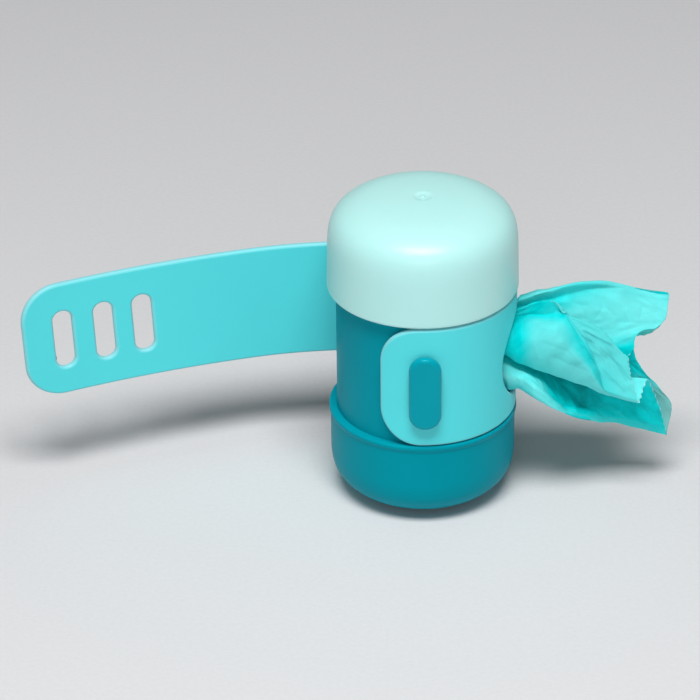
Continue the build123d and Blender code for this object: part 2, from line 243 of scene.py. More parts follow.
def film():
    """Thin tinted film: light comes through it, so one layer is pale and several together are a rich turquoise; folds,
    hollows and the inside are painted darker as shade.
    """
    m, nt, b, out = material("bag_film")
    uv = node(nt, "ShaderNodeUVMap", uv_map="flat").outputs["UV"]
    cloud = noise(nt, uv, 55.0, 3.0, 0.5, 0.4)
    layers_and_shade = node(nt, "ShaderNodeAttribute", attribute_name="layers_and_shade").outputs["Fac"]
    single_layer_and_shade = node(nt, "ShaderNodeAttribute", attribute_name="single_layer_and_shade").outputs["Fac"]
    col = mix_rgb(nt, remap(nt, cloud, 0.32, 0.68, 0.0, 1.0), (0.290, 0.990, 0.985), (0.230, 0.965, 0.955))
    streak = noise(nt, uv, 240.0, 3.0, 0.6, 0.8)
    patch = noise(nt, uv, 95.0, 3.0, 0.6, 1.4)
    # stacked film gives richer turquoise; above one the colour darkens further as painted shade in folds, hollows and
    # under the cone
    deep_and_shade = math_node(nt, "MULTIPLY", layers_and_shade, remap(nt, streak, 0.25, 0.75, 0.85, 1.1))
    deep_and_shade = math_node(nt, "MULTIPLY", deep_and_shade, remap(nt, patch, 0.3, 0.7, 0.82, 1.12))
    col = mix_rgb(nt, remap(nt, deep_and_shade, 0.0, 1.0, 0.0, 1.0), col, (0.001, 0.930, 0.940))
    col = mix_rgb(nt, remap(nt, deep_and_shade, 1.0, 1.6, 0.0, 1.0), col, (0.001, 0.540, 0.560))
    # single-layer film: paler for the thin film, and greyer and darker as painted shade from the inside seen through it
    col = mix_rgb(nt, single_layer_and_shade, col, (0.450, 0.770, 0.730))
    # dark marks along the sharp creases: painted shade in the creases
    crease_shade_mask = node(nt, "ShaderNodeAttribute", attribute_name="crease_shade_line").outputs["Fac"]
    col = mix_rgb(nt, math_node(nt, "MULTIPLY", crease_shade_mask, remap(nt, streak, 0.3, 0.7, 0.35, 0.75)), col, (0.020, 0.300, 0.320))
    # stretched tabs along the torn perforation go white
    sep = node(nt, "ShaderNodeSeparateXYZ")
    nt.links.new(uv, sep.inputs[0])
    tab = math_node(nt, "COSINE", math_node(nt, "MULTIPLY", sep.outputs["X"], 2 * math.pi / TAB_PITCH))
    ragged = noise(nt, uv, 1400.0, 2.0, 0.6)
    edge = math_node(nt, "ADD", remap(nt, sep.outputs["Y"], 0.0, 0.0005, 0.9, -0.4), math_node(nt, "MULTIPLY", tab, 0.35))
    edge = math_node(nt, "ADD", edge, math_node(nt, "SUBTRACT", ragged, 0.5))
    torn = node(nt, "ShaderNodeAttribute", attribute_name="torn").outputs["Fac"]
    white = math_node(nt, "MULTIPLY", remap(nt, edge, 0.35, 0.75, 0.0, 0.85), torn)
    col = mix_rgb(nt, white, col, (0.80, 1.0, 0.98))
    nt.links.new(col, b.inputs["Base Color"])
    nt.links.new(remap(nt, cloud, 0.3, 0.7, 0.40, 0.50), b.inputs["Roughness"])
    big = noise(nt, uv, 130.0, 3.0, 0.55, 1.1)
    fold = math_node(nt, "ABSOLUTE", math_node(nt, "SUBTRACT", big, 0.5))
    fold = math_node(nt, "POWER", fold, 0.6)
    small = noise(nt, uv, 620.0, 3.0, 0.6, 0.6)
    n1 = bump(nt, fold, 0.40, 2.4e-4)
    n2 = bump(nt, small, 0.30, 6.0e-5, n1)
    nt.links.new(n2, b.inputs["Normal"])
    b.inputs["Specular IOR Level"].default_value = 0.55
    b.inputs["Specular Tint"].default_value = (0.12, 0.92, 0.94, 1.0)
    tr = node(nt, "ShaderNodeBsdfTranslucent")
    # the colour let through darkens the same way: richer for stacked film, painted shade above one
    through = mix_rgb(nt, remap(nt, deep_and_shade, 0.0, 1.0, 0.0, 1.0), (0.32, 0.99, 0.985), (0.0, 0.95, 0.96))
    through = mix_rgb(nt, remap(nt, deep_and_shade, 1.0, 1.6, 0.0, 1.0), through, (0.0, 0.50, 0.52))
    nt.links.new(through, tr.inputs["Color"])
    nt.links.new(n2, tr.inputs["Normal"])
    mx = node(nt, "ShaderNodeMixShader")
    mx.inputs[0].default_value = 0.45
    nt.links.new(b.outputs[0], mx.inputs[1])
    nt.links.new(tr.outputs[0], mx.inputs[2])
    nt.links.new(mx.outputs[0], out.inputs[0])
    return m


TAB_PITCH = 0.00175
SILICONE = silicone()
WOUND = wound_film()
CARD = card()
FILM = film()


def give(obj, mat):
    obj.data.materials.clear()
    obj.data.materials.append(mat)


for name, mat in (("base_cup", TEAL), ("body_tube", TEAL), ("strap_button", BUTTON), ("lid", MINT),
                  ("roll_core", CARD), ("bag_roll", WOUND)):
    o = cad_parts[name]
    if not o.data.materials:
        o.data.materials.append(mat)
    for i in range(len(o.material_slots)):
        o.material_slots[i].material = mat


# ------------------------------------------------------------------ strap
R_WRAP, R_A, R_B = 22.35, 104.4, 281.0
PSI_LEAVE, PSI_FRONT = 79.53, -117.0
PSI_AB = PSI_LEAVE + 26.35
S_AB = math.radians(PSI_AB - PSI_LEAVE) * R_A
S_FRONT = -math.radians(PSI_LEAVE - PSI_FRONT) * R_WRAP
S_BTN = -math.radians(PSI_LEAVE + 90.0 - 1.538) * R_WRAP
S_HOLE = -math.radians(PSI_LEAVE) * R_WRAP
TAIL_L = 107.9
Z0, Z1 = 23.35, 56.0
HALF = 0.9
EDGE = 0.86
HOLE_R, HOLE_Z = 11.7, 38.75
SLOT_Z, SLOT_W, SLOT_H = 39.5, 5.0, 15.8
TAIL_Z0, TAIL_Z1 = 24.0, 55.3      # the tail is a little narrower than the wrap
LEAN = 0.05                        # the tip hangs with its slots a little off upright
CORNER = 10.0


def unit(deg):
    a = math.radians(deg)
    return np.array([math.cos(a), math.sin(a)])


C_A = (R_WRAP - R_A) * unit(PSI_LEAVE)
C_B = C_A + (R_A - R_B) * unit(PSI_AB)


def on_strap(s):
    """Centre of the band in plan, outward normal and tangent at station s, in mm."""
    if s < 0:
        psi, c, r = PSI_LEAVE + math.degrees(s / R_WRAP), np.zeros(2), R_WRAP
    elif s < S_AB:
        psi, c, r = PSI_LEAVE + math.degrees(s / R_A), C_A, R_A
    else:
        psi, c, r = PSI_AB + math.degrees((s - S_AB) / R_B), C_B, R_B
    n = unit(psi)
    return c + r * n, n, unit(psi + 90)


def ease(t):
    t = min(1.0, max(0.0, t))
    return t * t * (3 - 2 * t)


def flat_z(z):
    """Height in the flat band of a height z of the tail."""
    return Z0 + (z - TAIL_Z0) * (Z1 - Z0) / (TAIL_Z1 - TAIL_Z0)


PHI = [math.radians(a) for a in (0, 14, 28, 42, 58, 74, 90)]
INSET = [EDGE * (1 - math.cos(a)) for a in PHI]
FLAT_Z = [Z0 + EDGE + (Z1 - Z0 - 2 * EDGE) * k / 12 for k in range(13)]


def lift(s, z, k, sign, o):
    """Place and normal of a point of the band: k is its loop (None inside), o the outward direction in the flat."""
    k_tail = ease((s + 8.0) / 17.0)
    z = z + k_tail * (TAIL_Z0 + (z - Z0) * (TAIL_Z1 - TAIL_Z0) / (Z1 - Z0) - z)
    s = s + LEAN * (z - SLOT_Z) * ease((s - 67.4) / 6.0)
    c, n, t = on_strap(s)
    if k is None:
        h, a = HALF, math.pi / 2
    else:
        a = PHI[k]
        h = HALF - EDGE + EDGE * math.sin(a)
    p = c + sign * h * n
    nor = math.cos(a) * np.array([o[0] * t[0], o[0] * t[1], o[1]]) + sign * math.sin(a) * np.array([n[0], n[1], 0.0])
    return (p[0] * MM, p[1] * MM, z * MM), nor / max(1e-9, np.linalg.norm(nor))


def closed_loops(pts, outs):
    """Inset copies of a closed hole outline: pts its points, outs the directions into the hole."""
    return [[(p[0] - o[0] * d, p[1] - o[1] * d, o) for p, o in zip(pts, outs)] for d in INSET]


def slot_outline(sc, w, h, zc):
    r, pts, outs = w / 2, [], []
    half = h / 2 - r
    for i in range(25):
        a = math.pi * i / 24
        d = (math.cos(a), math.sin(a))
        pts.append((sc + r * d[0], zc + half + r * d[1])); outs.append((-d[0], -d[1]))
    for i in range(1, 8):
        pts.append((sc - r, zc + half - 2 * half * i / 8)); outs.append((1.0, 0.0))
    for i in range(25):
        a = math.pi + math.pi * i / 24
        d = (math.cos(a), math.sin(a))
        pts.append((sc + r * d[0], zc - half + r * d[1])); outs.append((-d[0], -d[1]))
    for i in range(1, 8):
        pts.append((sc + r, zc - half + 2 * half * i / 8)); outs.append((-1.0, 0.0))
    return pts, outs


def bag_hole_outline():
    pts = []
    for i in range(96):
        a = 2 * math.pi * i / 96
        y, z = HOLE_R * math.cos(a), HOLE_R * math.sin(a)
        pts.append((S_HOLE + R_WRAP * math.asin(y / R_WRAP), HOLE_Z + z))
    outs = []
    for i in range(96):
        a, b = pts[i - 1], pts[(i + 1) % 96]
        t = np.array([b[0] - a[0], b[1] - a[1]])
        t /= np.linalg.norm(t)
        outs.append((-t[1], t[0]))
    return pts, outs


def band_piece(name, sa, sb, holes=(), end=0, step=2.0):
    """One length of the band. end is -1 or +1 where its low or high end is the strap's own rounded end."""
    verts, info, index = [], [], {}

    def add(s, z, k, o):
        key = (round(s, 5), round(z, 5))
        if key not in index:
            index[key] = len(verts)
            verts.append(Vector((s, z)))
            info.append((k, o))
        return index[key]

    edges, wall, rims = [], [], []
    cuts = []
    if end == 0:
        cuts = [sa, sb]
    elif end < 0:
        cuts = [sb]
    else:
        cuts = [sa]
    n_s = max(2, int(round((sb - sa) / step)))
    stations = [sa + (sb - sa) * i / n_s for i in range(n_s + 1)]
    far = {-1: sa, 1: sb}.get(end)
    for k, d in enumerate(INSET):
        if end == 0:
            for z, o in ((Z0 + d, (0.0, -1.0)), (Z1 - d, (0.0, 1.0))):
                row = [add(s, z, k, o) for s in stations]
                edges += list(zip(row, row[1:]))
                if k == 0:
                    wall.append(row if o[1] < 0 else row[::-1])
        else:
            cs = far - end * CORNER
            keep = [s for s in stations if (s - cs) * end < -0.3]
            path = [(s, Z0 + d, (0.0, -1.0)) for s in (keep if end > 0 else keep[::-1])]
            r = CORNER - d
            for i in range(29):
                a = math.pi / 2 * i / 28
                o = (end * math.sin(a), -math.cos(a))
                path.append((cs + r * o[0], Z0 + CORNER + r * o[1], o))
            za, zb = Z0 + CORNER, Z1 - CORNER
            for i in range(1, 8):
                path.append((cs + end * r, za + (zb - za) * i / 8, (float(end), 0.0)))
            for i in range(29):
                a = math.pi / 2 * i / 28
                o = (end * math.cos(a), math.sin(a))
                path.append((cs + r * o[0], Z1 - CORNER + r * o[1], o))
            path += [(s, Z1 - d, (0.0, 1.0)) for s in (keep[::-1] if end > 0 else keep)]
            row = [add(s, z, k, o) for s, z, o in path]
            edges += list(zip(row, row[1:]))
            if k == 0:
                wall.append(row if end > 0 else row[::-1])
    for s in cuts:
        col = [add(s, Z0 + d, k, (0.0, -1.0)) for k, d in enumerate(INSET)]
        col += [add(s, z, None, (0.0, 0.0)) for z in FLAT_Z[1:-1]]
        col += [add(s, Z1 - d, k, (0.0, 1.0)) for k, d in reversed(list(enumerate(INSET)))]
        edges += list(zip(col, col[1:]))
        rims.append((s, col))
    hole_poly = []
    for pts, outs in holes:
        hole_poly.append(np.array(pts))
        for k, loop in enumerate(closed_loops(pts, outs)):
            row = [add(s, z, k, o) for s, z, o in loop]
            edges += list(zip(row, row[1:] + row[:1]))
            if k == 0:
                wall.append(row[::-1] + [row[-1]])
    # points inside, away from every edge
    bounds_pts = np.array([[v.x, v.y] for v, i in zip(verts, info) if i[0] is not None])
    for s in stations:
        for z in FLAT_Z[1:-1]:
            if any(abs(s - c) < 1e-6 for c in cuts):
                continue
            if end and (s - (far - end * CORNER)) * end > 0:
                dx = abs(s - (far - end * CORNER))
                dz = max(0.0, abs(z - (Z0 + Z1) / 2) - ((Z1 - Z0) / 2 - CORNER))
                if dx > CORNER - EDGE - 0.5 or math.hypot(dx, dz) > CORNER - EDGE - 0.5:
                    continue
            inside = False
            for poly in hole_poly:
                x, y = poly[:, 0], poly[:, 1]
                x2, y2 = np.roll(x, -1), np.roll(y, -1)
                cross = ((y > z) != (y2 > z)) & (s < (x2 - x) * (z - y) / (y2 - y + 1e-12) + x)
                inside = inside or bool(cross.sum() % 2)
            if inside or np.min(np.hypot(bounds_pts[:, 0] - s, bounds_pts[:, 1] - z)) < 0.45:
                continue
            add(s, z, None, (0.0, 0.0))
    out_v, out_e, out_f, ov, oe, of = delaunay_2d_cdt(verts, edges, [], 1, 1e-6)
    # the CDT may merge points, so the kept ones carry the first original's facts
    facts = [info[o[0]] if o else (None, (0.0, 0.0)) for o in ov]
    new_of = {}
    for i, olds in enumerate(ov):
        for o in olds:
            new_of[o] = i
    tris = []
    for f in out_f:
        c = np.mean([[out_v[i].x, out_v[i].y] for i in f], axis=0)
        inside = False
        for poly in hole_poly:
            x, y = poly[:, 0], poly[:, 1]
            x2, y2 = np.roll(x, -1), np.roll(y, -1)
            cross = ((y > c[1]) != (y2 > c[1])) & (c[0] < (x2 - x) * (c[1] - y) / (y2 - y + 1e-12) + x)
            inside = inside or bool(cross.sum() % 2)
        if not inside:
            tris.append(tuple(f))
    n = len(out_v)
    co, nor, uv = [], [], []
    for sign in (1, -1):
        for v, (k, o) in zip(out_v, facts):
            p, q = lift(v.x, v.y, k, sign, o)
            co.append(p); nor.append(q); uv.append((v.x * MM, v.y * MM + (0.0 if sign > 0 else 0.08)))
    faces, fnor = [], []
    for a, b, c in tris:
        A, B, C = out_v[a], out_v[b], out_v[c]
        area = (B.x - A.x) * (C.y - A.y) - (B.y - A.y) * (C.x - A.x)
        if area < 0:
            b, c = c, b
        # s runs with the tangent (anticlockwise seen from +Z), z up: t x z points outward
        faces.append((a, b, c)); fnor.append([nor[a], nor[b], nor[c]])
        faces.append((a + n, c + n, b + n)); fnor.append([nor[a + n], nor[c + n], nor[b + n]])
    for row in wall:
        row = [new_of[i] for i in row]
        for a, b in zip(row, row[1:]):
            if a == b:
                continue
            quad = (a + n, b + n, b, a)
            faces.append(quad); fnor.append([nor[i] for i in quad])
    for s, col in rims:
        col = [new_of[i] for i in col]
        _, _, t = on_strap(s)
        side = -1.0 if abs(s - sa) < 1e-6 else 1.0
        poly = [i for i in col] + [i + n for i in reversed(col)]
        if side < 0:
            poly = poly[::-1]
        faces.append(tuple(poly)); fnor.append([np.array([t[0], t[1], 0.0]) * side] * len(poly))
    me = bpy.data.meshes.new(name)
    me.from_pydata(co, [], faces)
    layer = me.uv_layers.new(name="flat")
    # weight of the rounded edges, which the band's material paints paler: partly wear, partly painted highlight
    rim = me.attributes.new("rim", "FLOAT", "POINT")
    worn_and_highlit_edge = [0.0 if k is None else math.cos(PHI[k]) ** 0.8 if k < len(PHI) - 1 else 0.0 for k, _ in facts]
    rim.data.foreach_set("value", worn_and_highlit_edge + worn_and_highlit_edge)
    loop_n = []
    for poly, want in zip(me.polygons, fnor):
        poly.use_smooth = len(poly.vertices) < 5
        for li, w in zip(poly.loop_indices, want):
            layer.data[li].uv = uv[me.loops[li].vertex_index]
            loop_n.append(tuple(w))
    me.normals_split_custom_set(loop_n)
    me.update()
    o = bpy.data.objects.new(name, me)
    scene.collection.objects.link(o)
    give(o, SILICONE)
    return o


hole = bag_hole_outline()
btn_slot = slot_outline(S_BTN, SLOT_W, SLOT_H, SLOT_Z)
band_wrap = band_piece("strap_band_wrap", S_FRONT, -8.0, [hole, btn_slot], end=-1, step=1.5)
band_root = band_piece("strap_band_root", -8.0, 21.0)
band_mid = band_piece("strap_band_middle", 21.0, 43.0)
band_out = band_piece("strap_band_outer", 43.0, 67.4)
band_tip = band_piece("strap_band_tip", 67.4, TAIL_L, [slot_outline(s, SLOT_W, flat_z(SLOT_Z + SLOT_H / 2) - flat_z(SLOT_Z - SLOT_H / 2), flat_z(SLOT_Z)) for s in (76.2, 86.4, 97.2)], end=1)


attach(band_wrap, "capsule")
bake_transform(band_root)
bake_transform(band_mid)
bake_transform(band_out)
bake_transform(band_tip)
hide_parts("strap_wrap")
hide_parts("strap_tail_root")
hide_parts("strap_tail_middle")
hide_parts("strap_tail_outer")
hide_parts("strap_tail_tip")

# ------------------------------------------------------------------ bag film
# The torn-off end of the leading bag. A bag is a flat tube of film, so the piece is one tube: its cross
# section is a closed loop of fold lines, each a rail from the exit window to the torn perforation.
# A rail lists (x, y, h) in mm, where h is the height that it has when seen from the front at 29.5 degrees,
# so its real height is h - 0.566 y.
def pchip(xs, ys, xq):
    """Monotone cubic through the points, as slopes that never overshoot."""
    xs, ys = np.asarray(xs, float), np.asarray(ys, float)
    h, d = np.diff(xs), np.diff(ys) / np.diff(xs)
    m = np.zeros_like(ys)
    m[0], m[-1] = d[0], d[-1]
    for i in range(1, len(xs) - 1):
        if d[i - 1] * d[i] > 0:
            a, b = 2 * h[i] + h[i - 1], h[i] + 2 * h[i - 1]
            m[i] = (a + b) / (a / d[i - 1] + b / d[i])
    i = np.clip(np.searchsorted(xs, xq) - 1, 0, len(xs) - 2)
    t = (xq - xs[i]) / h[i]
    return ((2 * t**3 - 3 * t**2 + 1) * ys[i] + (t**3 - 2 * t**2 + t) * h[i] * m[i]
            + (-2 * t**3 + 3 * t**2) * ys[i + 1] + (t**3 - t**2) * h[i] * m[i + 1])


XS = (24.5, 28, 32, 36, 40, 44, 48)


def between(lo, hi, t, ends, swell=(0, 0, 0, 0, 0, 0, 0)):
    """A rail a share t of the way from rail lo to rail hi, moved out by swell, with its own last points."""
    rows = []
    for x, s in zip(XS, swell):
        p = []
        for rail in (lo, hi):
            q = np.array(rail, float)
            y, h = pchip(q[:, 0], q[:, 1], float(x)), pchip(q[:, 0], q[:, 2], float(x))
            p.append(np.array([y, h - 0.566 * y]))
        v = p[0] + (p[1] - p[0]) * t
        rows.append((x, float(v[0]) - s, float(v[1]) + 0.566 * (float(v[0]) - s)))
    return rows + list(ends)


DEEP = [(24.5, 3.0, 49.9), (28, 3.6, 50.9), (32, 4.1, 52.0), (36, 4.4, 53.2), (40, 4.7, 54.4), (44, 5.2, 55.0),
        (48, 5.0, 55.0), (53, 4.8, 54.0), (58, 4.4, 53.0), (60.9, 4.0, 52.3)]
VALLEY = [(24.5, 2.6, 45.7), (28, 2.0, 44.6), (32, 1.0, 43.1), (36, -0.1, 41.2), (40, -1.1, 39.6), (44, -2.1, 38.6),
          (48, -2.8, 38.1), (52.4, -3.0, 37.9)]
RAILS = [
    ("top_fold", 1, [(24.5, 2.4, 52.0), (28, 3.0, 53.2), (32, 3.7, 54.55), (36, 4.2, 56.0), (40, 4.5, 56.75), (44, 4.9, 56.9),
                     (48, 5.5, 56.25), (53, 5.6, 55.25), (58, 5.0, 54.35), (60.6, 4.5, 53.9)]),
    ("hem", 1, [(24.5, 2.2, 51.5), (28, 2.9, 52.8), (32, 3.5, 54.2), (36, 3.9, 55.5), (40, 4.2, 56.1), (44, 4.6, 56.1),
                (48, 5.1, 55.55), (53, 5.25, 54.55), (58, 4.75, 53.65), (61.1, 4.2, 52.9)]),
    ("deep_fold", 1, DEEP),
    ("sheet_a", 0, between(DEEP, VALLEY, 0.20, [(53, 3.0, 50.6), (60.7, 2.7, 49.6)], (0.2, 0.3, 0.5, 0.6, 0.6, 0.4, 0.3))),
    ("sheet_b", 0, between(DEEP, VALLEY, 0.42, [(53, 1.0, 47.3), (60.0, 1.2, 46.0)], (0.2, 0.4, 0.7, 0.9, 0.9, 0.7, 0.5))),
    ("sheet_c", 0, between(DEEP, VALLEY, 0.62, [(52, -0.4, 44.6), (57.7, -0.4, 43.7)], (0.1, 0.3, 0.6, 0.8, 0.7, 0.4, 0.2))),
    ("sheet_d", 0, between(DEEP, VALLEY, 0.78, [(51, -1.5, 42.4), (54.5, -1.6, 43.2)], (0, 0.1, 0.3, 0.4, 0.3, 0.1, 0.0))),
    ("sheet_e", 0, between(DEEP, VALLEY, 0.90, [(50.6, -2.4, 40.2), (52.8, -2.4, 41.6)], (0, 0, 0.1, 0.1, 0.1, 0.0, 0.0))),
    ("valley", 1, VALLEY),
    ("tuck_a", 0, [(24.5, -0.4, 44.2), (28, -0.8, 43.0), (32, -1.0, 41.0), (36, -1.1, 39.0), (40, -1.6, 37.4), (44, -2.2, 36.2),
                   (48, -2.8, 35.4), (51.0, -3.4, 35.6)]),
    ("flap_edge", 1, [(24.5, -2.2, 49.2), (27, -3.2, 50.5), (29.4, -4.4, 51.45), (32, -5.4, 51.35), (33.4, -5.9, 50.3), (34.6, -6.4, 48.2),
                      (36, -6.2, 46.6), (38.9, -6.2, 45.7), (41.9, -6.4, 44.5), (44.4, -6.8, 42.8), (46.2, -7.1, 40.5),
                      (48.2, -7.5, 37.9), (50.5, -8.0, 35.2)]),
    ("flap_mid", 0, [(24.5, -1.5, 48.2), (27, -2.0, 48.8), (29.4, -2.9, 49.3), (32, -4.0, 49.2), (33.4, -4.9, 48.7), (34.6, -6.3, 47.9),
                     (36, -7.0, 46.1), (38.9, -7.7, 43.1), (41.9, -8.3, 39.4), (44.4, -8.6, 35.4), (46.2, -8.7, 33.2),
                     (48.2, -8.8, 31.4), (51.3, -8.8, 29.8)]),
    ("ridge", 1, [(24.5, -2.0, 47.2), (28.5, -3.9, 47.2), (32, -5.6, 47.3), (34.6, -7.0, 47.4),
                  (36, -8.2, 45.4), (37.2, -9.2, 42.8), (39.0, -10.3, 40.0), (40.5, -11.1, 37.0), (42.2, -11.7, 33.4), (43.4, -11.9, 29.4),
                  (44.6, -11.6, 26.2), (46.5, -11.2, 25.3), (49.5, -10.7, 24.4), (52.9, -10.2, 23.5)]),
    ("cone_a", 0, [(24.5, -5.6, 44.9), (28, -7.4, 45.2), (32, -8.9, 44.7), (34.6, -9.5, 43.2), (37.2, -10.2, 39.4), (40.5, -11.0, 34.6),
                   (43.4, -11.5, 28.2), (46.5, -11.0, 25.0), (52.9, -10.2, 23.2)]),
    ("cone_b", 0, [(24.5, -9.3, 40.6), (28, -10.1, 41.0), (32, -11.3, 39.8), (34.6, -11.6, 38.0), (37.2, -11.6, 35.2), (40.5, -11.5, 31.6),
                   (43.4, -11.3, 27.2), (46.5, -10.9, 24.8), (52.9, -10.1, 23.0)]),
    ("cone_c", 0, [(24.5, -9.9, 36.6), (28, -10.8, 35.8), (32, -11.5, 34.2), (34.6, -11.5, 33.0), (37.2, -11.4, 31.2), (40.5, -11.2, 29.0),
                   (43.4, -11.1, 26.4), (46.5, -10.8, 24.6), (52.9, -10.0, 22.8)]),
    ("cone_low", 1, [(24.5, -9, 33.3), (28, -9.6, 31.6), (32, -10.0, 30.0), (36, -10.3, 28.3), (40, -10.4, 26.8), (44, -10.4, 25.1),
                     (48, -10.0, 23.9), (53.6, -9.4, 22.5)]),
    ("tuck_b", 0, [(24.5, -6, 34.3), (28, -5.8, 33), (32, -5.2, 31.6), (36, -5.2, 30.2), (40, -5.6, 29.0), (44, -6.2, 27.8),
                   (48, -6.6, 26.7), (54.4, -6.9, 25.6)]),
    ("inner_fold", 1, [(24.5, -2.4, 35.6), (28, -1.2, 34.6), (32, -0.6, 33.2), (36, -0.4, 32.3), (40, -0.8, 31.4), (44, -2.0, 30.7),
                       (48, -3.4, 30.1), (52, -4.4, 29.8), (55.7, -4.8, 29.4)]),
    ("tray_a", 0, [(24.5, -6.2, 32.7), (28, -6.2, 31.0), (32, -4.2, 29.2), (36, -2.8, 27.8), (40, -2.6, 27.0), (44, -2.8, 26.4),
                   (48, -3.2, 26.1), (53, -3.6, 25.9), (57.4, -3.6, 25.4)]),
    ("tray_b", 0, [(24.5, -8.4, 30.8), (28, -9.4, 28.5), (32, -8.8, 24.2), (36, -6.4, 21.4), (40, -4.6, 21.4), (44, -3.9, 22.0),
                   (48, -3.6, 21.8), (54, -3.6, 21.5), (59.2, -3.0, 20.8)]),
    ("tray_c", 0, [(24.5, -9.9, 28.5), (28, -12.2, 26.2), (32, -12.2, 22.6), (36, -9.6, 20.0), (40, -6.2, 19.2), (44, -4.8, 19.0),
                   (48, -3.8, 18.7), (54.5, -3.0, 17.8), (60.3, -2.2, 16.6)]),
    ("bottom_fold", 1, [(24.5, -8.7, 26.1), (28, -12.4, 23.5), (32, -13.0, 21.0), (36, -11.4, 18.9), (40, -7.4, 17.4), (44, -5.4, 16.7),
                        (48, -3.8, 16.5), (54, -2.0, 15.0), (61.2, -0.8, 12.8)]),
    ("back_a", 0, [(24.5, -3.4, 27.8), (28, -4.4, 26.2), (32, -5.0, 24.0), (36, -4.6, 22.4), (40, -3.6, 21.4), (44, -2.6, 20.8),
                   (48, -1.6, 20.2), (54, -0.8, 18.6), (61.8, -0.4, 16.2)]),
    ("back_b", 0, [(24.5, -0.4, 31.6), (28, -0.6, 30.0), (32, -0.4, 28.4), (36, 0.0, 27.2), (40, 0.4, 26.4), (44, 0.6, 25.8),
                   (48, 0.6, 25.4), (54, 0.2, 24.8), (62.1, -1.2, 21.8)]),
    ("back_c", 0, [(24.5, 2.6, 36.4), (28, 2.6, 35.2), (32, 2.6, 34.0), (36, 2.6, 32.8), (40, 2.4, 31.8), (44, 1.8, 31.0),
                   (48, 1.0, 30.4), (53, -0.2, 29.4), (59.2, -1.6, 26.2)]),
    ("back_d", 0, [(24.5, 5.4, 41.4), (28, 5.4, 40.6), (32, 5.4, 39.8), (36, 5.2, 38.8), (40, 4.6, 37.8), (44, 3.6, 37.0),
                   (48, 2.0, 36.0), (54.2, -0.8, 32.6)]),
    ("back_e", 0, [(24.5, 7.2, 45.4), (28, 7.4, 45.0), (32, 7.6, 44.6), (36, 7.2, 43.8), (40, 6.4, 42.8), (44, 5.0, 41.6),
                   (48, 3.0, 40.2), (52.4, 0.4, 37.4)]),
    ("back_f", 0, [(24.5, 7.8, 48.0), (28, 8.4, 48.2), (32, 8.8, 48.2), (36, 8.6, 47.6), (40, 7.8, 46.8), (44, 6.4, 45.4),
                   (48, 4.4, 43.8), (52.5, 1.4, 41.0)]),
    ("back_g", 0, [(24.5, 7.6, 50.2), (28, 8.6, 50.8), (32, 9.4, 51.2), (36, 9.6, 51.2), (40, 9.0, 50.8), (44, 7.8, 49.6),
                   (48, 6.0, 48.0), (55.6, 2.0, 41.7)]),
    ("back_h", 0, [(24.5, 6.8, 52.0), (28, 7.8, 53.0), (32, 8.8, 53.8), (36, 9.0, 54.2), (40, 8.8, 54.2), (44, 8.0, 53.6),
                   (48, 7.0, 52.2), (54, 5.2, 50.0), (60.2, 2.8, 46.6)]),
    ("back_i", 0, [(24.5, 5.2, 53.2), (28, 6.2, 53.9), (32, 6.8, 54.8), (36, 6.8, 55.6), (40, 6.8, 56.1), (44, 6.6, 56.2),
                   (48, 6.6, 55.4), (53, 6.2, 54.4), (60.7, 4.6, 51.6)]),
]
NECK = [(16.1, 0.84), (18.0, 0.88), (20.0, 0.93), (21.6, 0.96), (22.6, 0.98), (23.6, 0.99), (24.5, 1.0)]
NECK_R = [(16.1, 9.4), (18.0, 9.8), (21.8, 10.15), (23.4, 11.2), (24.5, 14.0)]
NECK_LIFT = {"cone_b": 0.6, "cone_c": 1.6, "cone_low": 2.3, "tuck_b": 2.2, "inner_fold": 1.8, "tray_a": 2.0, "tray_b": 1.2, "tray_c": 0.0, "bottom_fold": -3.0, "back_a": -2.2}
# how much of the film lies stacked, plus the painted shade of its folds, hollows and the parts under the cone, by rail,
# at five distances from the window
LAYERS_AND_SHADE_X = (23.4, 28.2, 33, 39, 50)
LAYERS_AND_SHADE = {"top_fold": (0.3, 0.0, 0.0, 0.1, 0.1), "hem": (0.5, 0.2, 0.5, 0.6, 0.1), "deep_fold": (1.0, 0.95, 0.95, 0.6, 0.1),
          "sheet_a": (1.0, 1.0, 0.85, 0.25, 0.0), "sheet_b": (1.0, 0.9, 0.25, 0.0, 0.0), "sheet_c": (1.0, 0.5, 0.05, 0.0, 0.0),
          "sheet_d": (1.0, 0.5, 0.1, 0.0, 0.05), "sheet_e": (1.0, 0.6, 0.2, 0.1, 0.5), "valley": (1.0, 0.8, 0.6, 0.6, 1.0),
          "tuck_a": (1.0, 1.0, 1.0, 1.0, 1.2), "flap_edge": (0.1, 0.1, 0.2, 0.35, 0.1), "flap_mid": (1.0, 1.0, 0.9, 0.2, 0.2),
          "ridge": (1.1, 1.0, 1.0, 1.0, 0.25), "cone_a": (1.05, 0.25, 0.3, 0.85, 0.25), "cone_b": (1.05, 0.15, 0.0, 0.05, 0.1),
          "cone_c": (1.05, 0.15, 0.0, 0.0, 0.05), "cone_low": (1.0, 0.4, 0.15, 0.1, 0.0), "tuck_b": (1.4, 1.5, 1.5, 1.4, 0.3),
          "inner_fold": (1.4, 1.5, 1.6, 1.6, 0.4), "tray_a": (1.1, 1.25, 1.45, 1.5, 1.1), "tray_b": (0.2, 0.3, 1.2, 1.35, 1.2),
          "tray_c": (0.0, 0.0, 0.3, 1.0, 1.1), "bottom_fold": (0.6, 0.1, 0.1, 0.4, 0.8),
          "back_a": (1.4, 0.6, 0.4, 0.3, 0.2), "back_b": (1.3, 0.6, 0.4, 0.3, 0.2)}
HOLE_MID = (0.0, 39.3)
FILM_T = 0.05


